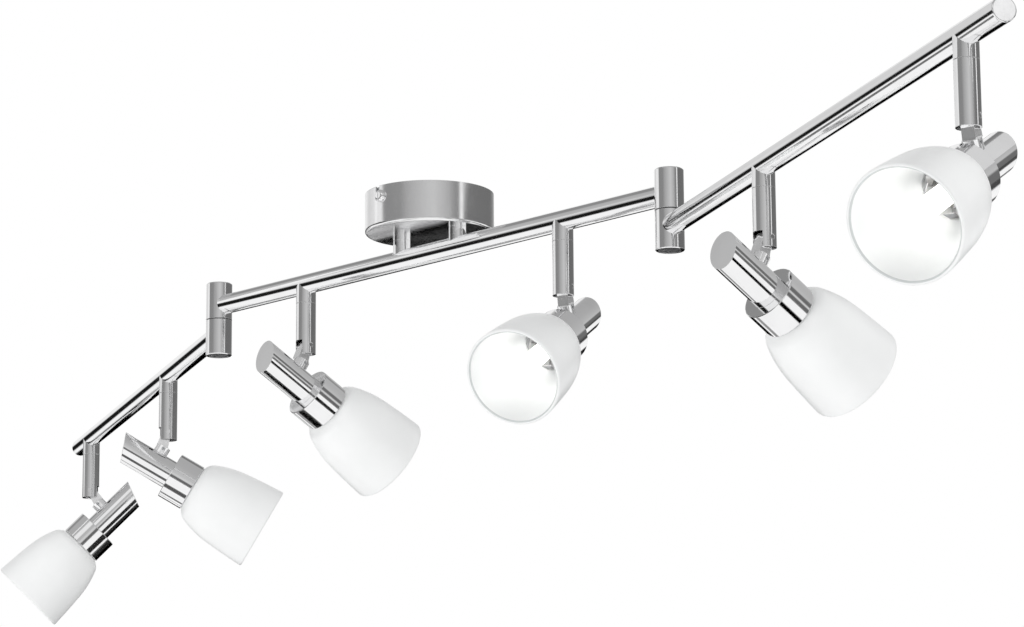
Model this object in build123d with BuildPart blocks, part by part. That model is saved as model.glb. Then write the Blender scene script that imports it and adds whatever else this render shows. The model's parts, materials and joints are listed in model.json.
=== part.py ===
"""Six-spot ceiling bar light: a canopy, a centre bar, two swivelling arms and six glass spots.

Frame: origin on the ceiling plane at the canopy's centre, +Z up, +X along the centre bar.
Lengths are in millimetres and angles in degrees. The pieces are written in their rest pose.
"""

import os
from math import cos, radians, sin

from build123d import *

# ---------------------------------------------------------------- driving dimensions
TUBE_R = 8.0              # every bar and stem is the same tube
BORE_R = 6.8
BAR_DROP = 46.6           # ceiling to the centre bar's axis
ARM_DROP = 23.9           # centre bar's axis to an arm's axis
HUB_X = 260.0             # swivel hubs, either side of the canopy
CENTER_STEM_X = 148.6
ARM_STEM_X = (186.4, 516.7)   # from the hub's axis
ARM_LENGTH = 571.0
END_DISC_T = 2.0          # closes an arm's outer end

CANOPY_R = 50.2
CANOPY_H = 31.2
CANOPY_WALL = 1.2
SIDE_SCREW_DROP = 8.5
POST_X = 32.3
POST_R = 7.0

HUB_R = 10.75
HUB_CAVITY_R = 8.7
HUB_TOP = 18.5            # above the centre bar's axis
HUB_SEAM = 11.9           # below the centre bar's axis
HUB_FOOT = 18.2           # below an arm's axis
HUB_WALL = 3.0

STEM_DROP = 57.4          # bar's axis to the stem's lower end
STUB_DROP = 16.0          # bar's axis to the seam where the stem turns
PIVOT_DROP = 50.8         # bar's axis to the tilt pin
SLOT_WIDTH = 9.4
SLOT_HEIGHT = 10.8

HEAD_DROP = 31.0          # tilt pin to the spot's own axis
SLEEVE_R = 12.5
SLEEVE_BORE_R = 11.3
SLEEVE_END = -26.7        # along the spot's axis, from below the tilt pin
END_SLANT = 20.0
COLLAR_R = 20.7
COLLAR_BACK = 20.6
COLLAR_FRONT = 43.0
SHADE_RIM = 113.4
SHADE_WALL = 2.8

ARM_AZIMUTH = {"left": 154.8, "right": -25.8}
# Each spot: the bar it hangs from, its distance along that bar, its pan and its tilt below level.
SPOTS = {
    1: ("left", ARM_STEM_X[1], 226.8, 44.8),
    2: ("left", ARM_STEM_X[0], 55.6, 29.9),
    3: ("center", -CENTER_STEM_X, 83.0, 31.0),
    4: ("center", CENTER_STEM_X, 289.7, 29.3),
    5: ("right", ARM_STEM_X[0], 86.3, 30.0),
    6: ("right", ARM_STEM_X[1], 282.7, 28.8),
}

# ---------------------------------------------------------------- small shared sizes
FIT = 0.05                # running fit, on the radius
SEAT = 0.02               # between faces that are pressed together, on the radius
GAP = 0.3                 # between faces that turn past each other
WIRE_R = 3.5
NIPPLE_R = 5.0
NUT_H = 4.0
NUT_R = 8.0
WASHER_T = 0.5
WASHER_R = HUB_R - 0.5
STUB_ROOF = 6.5           # depth of the stub's socket for the stem's spigot
SPIGOT_R = 6.95
SPIGOT_LENGTH = 5.5
PIN_R = 1.75

TOP = (Align.CENTER, Align.CENTER, Align.MAX)
BOTTOM = (Align.CENTER, Align.CENTER, Align.MIN)
ALONG_X = (0, 90, 0)

os.makedirs("parts", exist_ok=True)


def write(name, shape, location=Location()):
    """Put a piece in its place and write it as a node of its own."""
    placed = shape.moved(location)
    placed.label = name
    export_step(placed, f"parts/{name}.step")


# ---------------------------------------------------------------- canopy and ceiling fixing
BRACKET_WIDTH = 16.0
BRACKET_REACH = 48.0
BRACKET_T = 1.5
TAB_HEIGHT = 14.0
CEILING_SLOT_Y = 30.0
CEILING_SLOT = (12.0, 5.0)
CANOPY_EDGE_R = 2.2
BEND_R = 1.2
BAYONET_WIDTH = 4.6
BAYONET_SHIFT = 4.3
SCREW_R = 1.95
SCREW_HEAD = (4.7, 3.2)   # radius, height
SCREW_REACH = 8.0
DRIVER_SLOT = (1.0, 1.0)  # width, depth

with BuildPart() as canopy_cup:
    Cylinder(CANOPY_R, CANOPY_H, align=TOP)
    fillet(canopy_cup.edges().group_by(Axis.Z)[0], radius=CANOPY_EDGE_R)
    offset(amount=-CANOPY_WALL, openings=canopy_cup.faces().sort_by(Axis.Z)[-1])
    # A bayonet slot on each side: in from the rim, then across to where the screw clamps.
    through = 10 * CANOPY_WALL
    for side in (-1, 1):
        with Locations((side * BAYONET_SHIFT, side * CANOPY_R, 0)):
            Box(BAYONET_WIDTH, through, 2 * SIDE_SCREW_DROP + BAYONET_WIDTH, mode=Mode.SUBTRACT)
        with Locations((side * BAYONET_SHIFT / 2, side * CANOPY_R, -SIDE_SCREW_DROP)):
            Box(BAYONET_SHIFT + BAYONET_WIDTH, through, BAYONET_WIDTH, mode=Mode.SUBTRACT)
    with Locations((-POST_X, 0, -CANOPY_H), (POST_X, 0, -CANOPY_H)):
        Cylinder(NIPPLE_R + FIT, 3 * CANOPY_WALL, mode=Mode.SUBTRACT)
write("canopy_cup", canopy_cup.part)

with BuildPart() as ceiling_bracket:
    Box(BRACKET_WIDTH, 2 * BRACKET_REACH, TAB_HEIGHT, align=TOP)
    with Locations((0, 0, -BRACKET_T)):
        Box(2 * BRACKET_WIDTH, 2 * (BRACKET_REACH - BRACKET_T), TAB_HEIGHT, align=TOP, mode=Mode.SUBTRACT)
    bends = ceiling_bracket.edges().filter_by(Axis.X).group_by(Axis.Z)[-1]
    fillet(bends, radius=BEND_R)
    with BuildSketch() as ceiling_slots:
        with Locations((0, -CEILING_SLOT_Y), (0, CEILING_SLOT_Y)):
            SlotOverall(*CEILING_SLOT, rotation=90)
    extrude(amount=-2 * BRACKET_T, mode=Mode.SUBTRACT)
    with Locations((0, 0, -SIDE_SCREW_DROP)):
        Cylinder(SCREW_R + FIT, 3 * CANOPY_R, rotation=(90, 0, 0), mode=Mode.SUBTRACT)
write("ceiling_bracket", ceiling_bracket.part)

with BuildPart() as canopy_screws:
    with BuildSketch(Plane.XZ.offset(CANOPY_R)) as screw_head:
        with Locations((0, -SIDE_SCREW_DROP)):
            Circle(SCREW_HEAD[0])
    extrude(amount=SCREW_HEAD[1])
    fillet(canopy_screws.edges().group_by(Axis.Y)[0], radius=0.7 * SCREW_HEAD[1])
    with Locations((0, -CANOPY_R - SCREW_HEAD[1], -SIDE_SCREW_DROP)):
        Box(DRIVER_SLOT[0], 2 * DRIVER_SLOT[1], 2 * SCREW_HEAD[0], mode=Mode.SUBTRACT)
    with BuildSketch(Plane.XZ.offset(CANOPY_R)) as screw_shank:
        with Locations((0, -SIDE_SCREW_DROP)):
            Circle(SCREW_R)
    extrude(amount=-SCREW_REACH)
    mirror(about=Plane.XZ)
write("canopy_screws", canopy_screws.part)

TERMINAL_SIZE = (14.0, 32.0, 12.0)
TERMINAL_PITCH = 10.0
CLAMP_PITCH = 7.0         # between the two clamp screws of a way
CLAMP_HOLE = (1.7, 5.0)   # radius, depth
WIRE_WAY_R = 1.5
WIRE_WAY_DROP = 7.5

with BuildPart() as terminal_block:
    with Locations((0, 0, -BRACKET_T)):
        Box(*TERMINAL_SIZE, align=TOP)
    fillet(terminal_block.edges().filter_by(Axis.Z), radius=1.0)
    with BuildSketch(Plane.XY.offset(-BRACKET_T - TERMINAL_SIZE[2])) as clamp_screws:
        with GridLocations(CLAMP_PITCH, TERMINAL_PITCH, 2, 3):
            Circle(CLAMP_HOLE[0])
    extrude(amount=CLAMP_HOLE[1], mode=Mode.SUBTRACT)
    with BuildSketch(Plane.YZ.offset(-TERMINAL_SIZE[0])) as wire_ways:
        with Locations((0, -BRACKET_T - WIRE_WAY_DROP)):
            with GridLocations(TERMINAL_PITCH, 1, 3, 1):
                Circle(WIRE_WAY_R)
    extrude(amount=2 * TERMINAL_SIZE[0], mode=Mode.SUBTRACT)
write("terminal_block", terminal_block.part)

NIPPLE_TOP = 9.0          # above the canopy's underside
NIPPLE_FOOT = 5.5         # above the centre bar's axis
NIPPLE_LENGTH = NIPPLE_TOP + BAR_DROP - CANOPY_H - NIPPLE_FOOT

with BuildPart() as canopy_posts:
    for x in (-POST_X, POST_X):
        with Locations((x, 0, -CANOPY_H)):
            Cylinder(POST_R, BAR_DROP - CANOPY_H, align=TOP)
    with Locations((0, 0, -BAR_DROP)):
        Cylinder(TUBE_R + SEAT, 4 * POST_X, rotation=ALONG_X, mode=Mode.SUBTRACT)
    for x in (-POST_X, POST_X):
        # A hollow nipple runs from above the canopy's floor into the bar.
        with Locations((x, 0, -CANOPY_H + NIPPLE_TOP)):
            Cylinder(NIPPLE_R, NIPPLE_LENGTH, align=TOP)
            Cylinder(WIRE_R, 2 * NIPPLE_LENGTH, mode=Mode.SUBTRACT)
        with BuildSketch(Plane.XY.offset(-CANOPY_H + CANOPY_WALL)) as nut:
            with Locations((x, 0)):
                RegularPolygon(NUT_R, 6)
                Circle(NIPPLE_R + SEAT, mode=Mode.SUBTRACT)
        extrude(amount=NUT_H)
write("canopy_posts", canopy_posts.part)


# ---------------------------------------------------------------- bars and hubs
def stub_outside(x):
    """The short tube welded under a bar, in the current part."""
    with Locations((x, 0, 0)):
        Cylinder(TUBE_R, STUB_DROP, align=TOP)


def stub_inside(x):
    """The stub's socket for the stem's spigot, and the wire hole above it."""
    with Locations((x, 0, -STUB_DROP)):
        Cylinder(SPIGOT_R + FIT, STUB_ROOF, align=BOTTOM, mode=Mode.SUBTRACT)
        Cylinder(WIRE_R, STUB_DROP, align=BOTTOM, mode=Mode.SUBTRACT)


BAR_AXIS = Location((0, 0, -BAR_DROP))
ARM_AXIS_Z = -BAR_DROP - ARM_DROP
LOWER_TOP = ARM_DROP - HUB_SEAM - WASHER_T - GAP    # above the arm's axis
HUB_TOP_CHAMFER = 0.8
HUB_FOOT_CHAMFER = 0.6
TUBE_END_FILLET = 0.8

with BuildPart() as center_bar:
    Cylinder(TUBE_R, 2 * HUB_X, rotation=ALONG_X)
    for x in (-HUB_X, HUB_X):
        with Locations((x, 0, HUB_TOP)):
            Cylinder(HUB_R, HUB_TOP + HUB_SEAM, align=TOP)
    chamfer(center_bar.edges().group_by(Axis.Z)[-1], length=HUB_TOP_CHAMFER)
    for x in (-CENTER_STEM_X, CENTER_STEM_X):
        stub_outside(x)
    Cylinder(BORE_R, 2 * HUB_X, rotation=ALONG_X, mode=Mode.SUBTRACT)
    for x in (-HUB_X, HUB_X):
        with Locations((x, 0, -HUB_SEAM + HUB_WALL)):
            Cylinder(HUB_CAVITY_R, HUB_TOP + HUB_SEAM - 2 * HUB_WALL, align=BOTTOM, mode=Mode.SUBTRACT)
            Cylinder(NIPPLE_R + FIT, 4 * HUB_WALL, mode=Mode.SUBTRACT)
    for x in (-CENTER_STEM_X, CENTER_STEM_X):
        stub_inside(x)
    with Locations((-POST_X, 0, TUBE_R), (POST_X, 0, TUBE_R)):
        Cylinder(NIPPLE_R + FIT, TUBE_R, mode=Mode.SUBTRACT)
write("center_bar", center_bar.part, BAR_AXIS)

with BuildPart() as arm_bar:
    with Locations((ARM_LENGTH / 2, 0, 0)):
        Cylinder(TUBE_R, ARM_LENGTH, rotation=ALONG_X)
    fillet(arm_bar.edges().group_by(Axis.X)[-1], radius=TUBE_END_FILLET)
    with Locations((0, 0, LOWER_TOP)):
        Cylinder(HUB_R, LOWER_TOP + HUB_FOOT, align=TOP)
    chamfer(arm_bar.edges().group_by(Axis.Z)[0], length=HUB_FOOT_CHAMFER)
    for x in ARM_STEM_X:
        stub_outside(x)
    with Locations((ARM_LENGTH / 2 - END_DISC_T, 0, 0)):
        Cylinder(BORE_R, ARM_LENGTH, rotation=ALONG_X, mode=Mode.SUBTRACT)
    with Locations((0, 0, LOWER_TOP - HUB_WALL)):
        Cylinder(HUB_CAVITY_R, 2 * HUB_FOOT, align=TOP, mode=Mode.SUBTRACT)
        Cylinder(NIPPLE_R + FIT, 4 * HUB_WALL, mode=Mode.SUBTRACT)
    for x in ARM_STEM_X:
        stub_inside(x)

PLUG_T = 2.5
PLUG_RECESS = 1.2
PLUG_CHAMFER = 0.6

with BuildPart() as hub_plug:
    with Locations((0, 0, -HUB_FOOT + PLUG_RECESS)):
        Cylinder(HUB_CAVITY_R - FIT, PLUG_T, align=BOTTOM)
    chamfer(hub_plug.edges().group_by(Axis.Z)[0], length=PLUG_CHAMFER)

ARM_PLACES = {
    "left": Location((-HUB_X, 0, ARM_AXIS_Z), (0, 0, ARM_AZIMUTH["left"])),
    "right": Location((HUB_X, 0, ARM_AXIS_Z), (0, 0, ARM_AZIMUTH["right"])),
}
for side, place in ARM_PLACES.items():
    write(f"{side}_arm_bar", arm_bar.part, place)
    write(f"{side}_hub_plug", hub_plug.part, place)

FLANGE_Z = -BAR_DROP - HUB_SEAM + HUB_WALL
NUT_Z = ARM_AXIS_Z + LOWER_TOP - HUB_WALL - GAP
BOLT_HEAD = (7.5, 2.0)    # radius, height
BOLT_LENGTH = FLANGE_Z - NUT_Z + NUT_H + 1.0

with BuildPart() as hub_bolts:
    for x in (-HUB_X, HUB_X):
        with Locations((x, 0, FLANGE_Z)):
            Cylinder(*BOLT_HEAD, align=BOTTOM)
            Cylinder(NIPPLE_R, BOLT_LENGTH, align=TOP)
            Cylinder(WIRE_R, 3 * BOLT_LENGTH, mode=Mode.SUBTRACT)
        with BuildSketch(Plane.XY.offset(NUT_Z)) as bolt_nut:
            with Locations((x, 0)):
                RegularPolygon(NUT_R, 6)
                Circle(NIPPLE_R + SEAT, mode=Mode.SUBTRACT)
        extrude(amount=-NUT_H)
write("hub_bolts", hub_bolts.part)

with BuildPart() as swivel_washers:
    with BuildSketch(Plane.XY.offset(-BAR_DROP - HUB_SEAM)) as washer_ring:
        with Locations((-HUB_X, 0), (HUB_X, 0)):
            Circle(WASHER_R)
            Circle(NIPPLE_R + FIT, mode=Mode.SUBTRACT)
    extrude(amount=-WASHER_T)
write("swivel_washers", swivel_washers.part)

# ---------------------------------------------------------------- stem and tilt pin
# Local frame: origin on the bar's axis, +X the way the spot points; the slot opens at the back.
STEM_LENGTH = STEM_DROP - STUB_DROP - GAP
STEM_BORE_R = 6.9
STEM_ROOF = 2.0           # the wall between the stem's bore and its spigot
SLOT_DEPTH = 5.0          # in from the back of the tube
PIN_INSET = 0.3           # the pin's ends, below the tube's surface

with BuildPart() as stem:
    with Locations((0, 0, -STUB_DROP - GAP)):
        Cylinder(TUBE_R, STEM_LENGTH, align=TOP)
        Cylinder(SPIGOT_R, SPIGOT_LENGTH, align=BOTTOM)
    with Locations((0, 0, -STEM_DROP)):
        Cylinder(STEM_BORE_R, STEM_LENGTH - STEM_ROOF, align=BOTTOM, mode=Mode.SUBTRACT)
        Cylinder(WIRE_R, STEM_DROP, align=BOTTOM, mode=Mode.SUBTRACT)
    with Locations((-TUBE_R, 0, -STEM_DROP)):
        Box(2 * SLOT_DEPTH, SLOT_WIDTH, 2 * SLOT_HEIGHT, mode=Mode.SUBTRACT)
    with Locations((0, 0, -PIVOT_DROP)):
        Cylinder(PIN_R + SEAT, 3 * TUBE_R, rotation=(90, 0, 0), mode=Mode.SUBTRACT)

with BuildPart() as tilt_screw:
    with Locations((0, 0, -PIVOT_DROP)):
        Cylinder(PIN_R, 2 * (TUBE_R - PIN_INSET), rotation=(90, 0, 0))

# ---------------------------------------------------------------- the tilting spot
# Local frame: origin on the tilt pin, +X the way the spot points, +Z from its axis to the pin.
SPOT_AXIS = Axis((0, 0, -HEAD_DROP), (1, 0, 0))


def at(along, radius):
    """A profile point on Plane.XZ, from its place along the spot's axis and its radius."""
    return (along, radius - HEAD_DROP)


LUG_R = 4.6
LUG_THICKNESS = 8.8
LUG_SHOULDER = -5.0       # where the lug starts to widen into the boss
LUG_REACH = 4.0           # ahead of the boss's axis
LUG_SINK = 1.0            # into the boss
BOSS_R = 6.3
BOSS_X = 3.3              # ahead of the tilt pin
BOSS_TOP = -12.5
SPIGOT_FOOT_R = 4.0       # the boss's hollow spigot through the sleeve's wall
SPIGOT_FOOT_END = -21.7
SPIGOT_FOOT_LENGTH = 7.2
KNUCKLE_WIRE_R = 1.8
KNUCKLE_WIRE_TOP = -7.0
GRUB_HOLE = (1.4, 2.5)    # radius, depth
GRUB_HOLE_X = 4.0
GRUB_HOLE_Z = -15.0

with BuildPart() as knuckle:
    with BuildSketch(Plane.XZ) as lug:
        Circle(LUG_R)
        with BuildLine():
            Polyline(
                (-LUG_R, 0), (LUG_R, 0), (LUG_R, LUG_SHOULDER),
                (BOSS_X + LUG_REACH, BOSS_TOP - LUG_SINK), (BOSS_X - BOSS_R, BOSS_TOP - LUG_SINK), close=True,
            )
        make_face()
    extrude(amount=LUG_THICKNESS / 2, both=True)
    with Locations((BOSS_X, 0, BOSS_TOP)):
        Cylinder(BOSS_R, HEAD_DROP + BOSS_TOP, align=TOP)
    with Locations((0, 0, -HEAD_DROP)):
        Cylinder(SLEEVE_R + SEAT, 6 * BOSS_R, rotation=ALONG_X, mode=Mode.SUBTRACT)
    with Locations((BOSS_X, 0, SPIGOT_FOOT_END)):
        Cylinder(SPIGOT_FOOT_R, SPIGOT_FOOT_LENGTH, align=BOTTOM)
    with Locations((BOSS_X, 0, KNUCKLE_WIRE_TOP)):
        Cylinder(KNUCKLE_WIRE_R, HEAD_DROP, align=TOP, mode=Mode.SUBTRACT)
    Cylinder(PIN_R + FIT, 2 * LUG_THICKNESS, rotation=(90, 0, 0), mode=Mode.SUBTRACT)
    # A blind grub-screw hole on each side of the boss.
    for side in (-1, 1):
        with Locations((GRUB_HOLE_X, side * BOSS_R, GRUB_HOLE_Z)):
            Cylinder(GRUB_HOLE[0], 2 * GRUB_HOLE[1], rotation=(90, 0, 0), mode=Mode.SUBTRACT)

END_PLANE = Plane(
    origin=(SLEEVE_END, 0, -HEAD_DROP),
    x_dir=(sin(radians(END_SLANT)), 0, -cos(radians(END_SLANT))),
    z_dir=(-cos(radians(END_SLANT)), 0, -sin(radians(END_SLANT))),
)
CUP_FLOOR_T = 2.2
CUP_FLOOR = COLLAR_BACK + CUP_FLOOR_T
CUP_LEDGE = 33.0
CUP_BORE_R = COLLAR_R - 1.1
NECK_SEAT_R = 17.4
COLLAR_CHAMFER = 0.4
END_PLATE_R = SLEEVE_BORE_R + 0.6
END_PLATE_T = 1.5
SPARE = 10.0              # left on the sleeve for the slanted cut

with BuildPart() as lamp_sleeve:
    with BuildSketch(Plane.XZ) as shell:
        with BuildLine():
            Polyline(
                at(SLEEVE_END - SPARE, SLEEVE_BORE_R), at(SLEEVE_END - SPARE, SLEEVE_R),
                at(COLLAR_BACK, SLEEVE_R), at(COLLAR_BACK, COLLAR_R),
                at(COLLAR_FRONT, COLLAR_R), at(COLLAR_FRONT, CUP_BORE_R),
                at(CUP_LEDGE, CUP_BORE_R), at(CUP_LEDGE, NECK_SEAT_R), at(CUP_FLOOR, NECK_SEAT_R),
                at(CUP_FLOOR, SLEEVE_BORE_R), close=True,
            )
        make_face()
    revolve(axis=SPOT_AXIS)
    circles = lamp_sleeve.edges().filter_by(GeomType.CIRCLE)
    chamfer(circles.filter_by(lambda edge: abs(edge.radius - COLLAR_R) < SEAT), length=COLLAR_CHAMFER)
    split(bisect_by=END_PLANE, keep=Keep.BOTTOM)
    with BuildSketch(END_PLANE) as end_plate:
        Ellipse(END_PLATE_R / cos(radians(END_SLANT)), END_PLATE_R)
    extrude(amount=-END_PLATE_T)
    with Locations((BOSS_X, 0, -HEAD_DROP)):
        Cylinder(SPIGOT_FOOT_R + SEAT, HEAD_DROP, align=BOTTOM, mode=Mode.SUBTRACT)

# Where the arcs of the bell's two outlines meet, neck to rim: distance along the axis and radius.
BELL_OUTSIDE = ((43.5, 19.5), (51.0, 27.5), (77.7, 34.2), (SHADE_RIM, 36.7))
BELL_INSIDE = ((46.1, 18.6), (53.8, 25.7), (75.7, 31.1), (SHADE_RIM, 36.7 - SHADE_WALL))
OUTSIDE_FLARE = 70.9      # how steeply each outline leaves the neck, in degrees from the axis
INSIDE_FLARE = 64.5
NECK_R = 19.2
NECK_STEP = 5.0           # length of the neck's inner lip
LIP_CHAMFER = 0.9


def bell_curve(outline, flare):
    """Draws tangent arcs through the outline's points, the first one leaving the neck at the flare."""
    heading = (cos(radians(flare)), sin(radians(flare)))
    for start, end in zip(outline, outline[1:]):
        arc = TangentArc(at(*start), at(*end), tangent=heading)
        heading = arc % 1


with BuildPart() as glass_shade:
    with BuildSketch(Plane.XZ) as bell:
        with BuildLine():
            Polyline(at(*BELL_INSIDE[0]), at(CUP_LEDGE + NECK_STEP, NECK_R - SHADE_WALL),
                     at(CUP_LEDGE, NECK_R - SHADE_WALL), at(CUP_LEDGE, NECK_R),
                     at(COLLAR_FRONT, NECK_R), at(*BELL_OUTSIDE[0]))
            bell_curve(BELL_OUTSIDE, OUTSIDE_FLARE)
            Line(at(*BELL_OUTSIDE[-1]), at(*BELL_INSIDE[-1]))
            bell_curve(BELL_INSIDE, INSIDE_FLARE)
        make_face()
    revolve(axis=SPOT_AXIS)
    lip = glass_shade.edges().filter_by(GeomType.CIRCLE).group_by(Axis.X)[-1]
    chamfer(lip, length=LIP_CHAMFER)

SOCKET_BACK = 8.0
SOCKET_FRONT = 38.0
SOCKET_R = 9.0
SOCKET_FLANGE = (12.0, 2.0)   # radius, thickness
SOCKET_NOSE_R = 9.5
LAMP_PIN_Y = 4.5
LAMP_PIN_R = 0.7
PIN_HOLE = (0.9, 10.0)    # radius, depth

with BuildPart() as lamp_socket:
    with BuildSketch(Plane.XZ) as ceramic:
        with BuildLine():
            Polyline(
                at(SOCKET_BACK, 0), at(SOCKET_BACK, SOCKET_R), at(CUP_FLOOR, SOCKET_R),
                at(CUP_FLOOR, SOCKET_FLANGE[0]), at(CUP_FLOOR + SOCKET_FLANGE[1], SOCKET_FLANGE[0]),
                at(CUP_FLOOR + SOCKET_FLANGE[1], SOCKET_NOSE_R), at(SOCKET_FRONT, SOCKET_NOSE_R),
                at(SOCKET_FRONT, 0), close=True,
            )
        make_face()
    revolve(axis=SPOT_AXIS)
    with BuildSketch(Plane.YZ.offset(SOCKET_FRONT)) as pin_holes:
        with Locations((-LAMP_PIN_Y, -HEAD_DROP), (LAMP_PIN_Y, -HEAD_DROP)):
            Circle(PIN_HOLE[0])
    extrude(amount=-PIN_HOLE[1], mode=Mode.SUBTRACT)

BULB_TIP = 82.0
BULB_R = 7.0
BULB_BACK = 44.5
BULB_SHOULDER = (47.0, 4.5)   # where it is full width, and the radius at its back
PINCH = (38.4, 8.0, 13.0, 5.0)   # back face, then length, width and thickness of the flat base
LAMP_PIN_BACK = 31.0
LAMP_PIN_LENGTH = 10.0

with BuildPart() as bulb:
    with BuildSketch(Plane.XZ) as capsule:
        with BuildLine():
            Polyline(at(BULB_BACK, 0), at(BULB_BACK, BULB_SHOULDER[1]), at(BULB_SHOULDER[0], BULB_R),
                     at(BULB_TIP - BULB_R, BULB_R))
            RadiusArc(at(BULB_TIP - BULB_R, BULB_R), at(BULB_TIP, 0), BULB_R)
            Line(at(BULB_TIP, 0), at(BULB_BACK, 0))
        make_face()
    revolve(axis=SPOT_AXIS)
    with Locations((PINCH[0], 0, -HEAD_DROP)):
        Box(*PINCH[1:], align=(Align.MIN, Align.CENTER, Align.CENTER))
    with BuildSketch(Plane.YZ.offset(LAMP_PIN_BACK)) as pins:
        with Locations((-LAMP_PIN_Y, -HEAD_DROP), (LAMP_PIN_Y, -HEAD_DROP)):
            Circle(LAMP_PIN_R)
    extrude(amount=LAMP_PIN_LENGTH)

CLIP_T = 0.5
CLIP_WIDTH = 7.0
CLIP_SEAT = CUP_FLOOR + CLIP_T / 2
CLIP_FOOT_R = 16.3
CLIP_LEG_R = 12.6
CLIP_LEG_END = 44.2       # where the leg bows out to grip the neck
CLIP_BOW = (49.0, 16.6)
CLIP_TIP = (57.0, 11.3)
CLIP_PATH = ((CLIP_SEAT, CLIP_FOOT_R), (CLIP_SEAT, CLIP_LEG_R), (CLIP_LEG_END, CLIP_LEG_R), CLIP_BOW, CLIP_TIP)
CLIP_BEND_R = 0.8
CLIP_TURNS = (60, 180, 300)   # around the spot's axis, from the knuckle

with BuildPart() as spring_clips:
    for turn in CLIP_TURNS:
        across = (0, -cos(radians(turn)), -sin(radians(turn)))
        with BuildSketch(Plane(origin=(0, 0, -HEAD_DROP), x_dir=(1, 0, 0), z_dir=across)) as strip:
            with BuildLine():
                FilletPolyline(*CLIP_PATH, radius=CLIP_BEND_R)
            trace(line_width=CLIP_T)
        extrude(amount=CLIP_WIDTH / 2, both=True)

# ---------------------------------------------------------------- six spots in their rest pose
PANNING = {"stem": stem, "tilt_screw": tilt_screw}
TILTING = {
    "knuckle": knuckle, "lamp_sleeve": lamp_sleeve, "glass_shade": glass_shade,
    "spring_clips": spring_clips, "lamp_socket": lamp_socket, "bulb": bulb,
}


def hanging_point(bar, distance):
    """Where a stem's axis meets the axis of its bar."""
    if bar == "center":
        return Vector(distance, 0, -BAR_DROP)
    hub = ARM_PLACES[bar].position
    swing = radians(ARM_AZIMUTH[bar])
    return hub + Vector(cos(swing), sin(swing), 0) * distance


for number, (bar, distance, pan, tilt) in SPOTS.items():
    hang = hanging_point(bar, distance)
    pan_place = Location(hang, (0, 0, pan))
    tilt_place = pan_place * Location((0, 0, -PIVOT_DROP), (0, tilt, 0))
    for name, piece in PANNING.items():
        write(f"{name}_{number}", piece.part, pan_place)
    for name, piece in TILTING.items():
        write(f"{name}_{number}", piece.part, tilt_place)
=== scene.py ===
"""Looks for a six-spot ceiling bar light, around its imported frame.

Lengths are in metres, in the frame's axes: +Z up into the ceiling, +X along the centre bar.
"""

import json
from cmath import exp, phase
from math import cos, pi, radians, sin

import bmesh
import bpy
from mathutils import Euler, Matrix, Vector

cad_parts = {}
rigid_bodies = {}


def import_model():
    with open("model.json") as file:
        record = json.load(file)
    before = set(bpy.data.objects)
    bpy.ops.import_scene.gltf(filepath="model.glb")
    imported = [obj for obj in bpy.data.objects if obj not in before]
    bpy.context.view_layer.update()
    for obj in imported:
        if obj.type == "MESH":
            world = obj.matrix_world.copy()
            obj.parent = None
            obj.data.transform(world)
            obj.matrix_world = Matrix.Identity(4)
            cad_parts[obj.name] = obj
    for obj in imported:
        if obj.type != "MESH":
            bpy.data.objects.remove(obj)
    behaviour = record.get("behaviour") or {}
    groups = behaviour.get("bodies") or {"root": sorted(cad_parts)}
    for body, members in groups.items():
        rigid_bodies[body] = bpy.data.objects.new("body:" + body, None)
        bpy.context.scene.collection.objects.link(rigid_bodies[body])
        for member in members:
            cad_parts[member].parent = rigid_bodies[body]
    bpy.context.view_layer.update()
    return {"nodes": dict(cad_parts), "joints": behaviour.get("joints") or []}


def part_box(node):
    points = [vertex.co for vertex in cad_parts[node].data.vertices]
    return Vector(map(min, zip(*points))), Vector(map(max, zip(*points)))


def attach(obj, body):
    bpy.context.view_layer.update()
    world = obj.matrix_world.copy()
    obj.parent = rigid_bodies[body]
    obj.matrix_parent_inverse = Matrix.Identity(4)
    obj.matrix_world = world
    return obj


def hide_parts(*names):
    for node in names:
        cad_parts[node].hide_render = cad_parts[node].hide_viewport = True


for leftover in list(bpy.data.objects):
    bpy.data.objects.remove(leftover)

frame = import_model()
NODES = frame["nodes"]
JOINTS = {joint["name"]: joint for joint in frame["joints"]}
SPOTS = range(1, 7)
MM = 0.001
UPRIGHT = Matrix.Identity(4)
scene = bpy.context.scene

# ---------------------------------------------------------------- sizes shared with the frame
HEAD_DROP = 31.0 * MM         # tilt pin to the spot's own axis
# The shade's outlines, as place along the spot's axis from below the tilt pin, and radius, in mm.
NECK = ((33.0, 19.2), (43.0, 19.2))
NECK_INSIDE = ((38.0, 16.4), (33.0, 16.4))
BELL_OUTSIDE = ((43.5, 19.5), (51.0, 27.5), (77.7, 34.2), (113.4, 36.7))
BELL_INSIDE = ((46.1, 18.6), (53.8, 25.7), (75.7, 31.1), (113.4, 33.9))
OUTSIDE_FLARE = 70.9          # how steeply each outline leaves the neck, in degrees from the axis
INSIDE_FLARE = 64.5
SHADE_RIM = 113.35
LIP_R = 1.4
LIP_INSET = 0.1               # the lip's outside, within the bell's
CANOPY_FLOOR = -31.2 * MM
POST_NUT_R = 8.0 * MM         # the nuts are what reaches furthest out on the canopy posts
THREAD_PITCH = 1.0 * MM
GRUB_SCREW = Vector((4.0, 5.9, -15.0)) * MM   # its face, from the tilt pin
CLAMP_PITCH = (7.0 * MM, 10.0 * MM)
CLAMP_SCREW_SINK = 1.0 * MM


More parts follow.
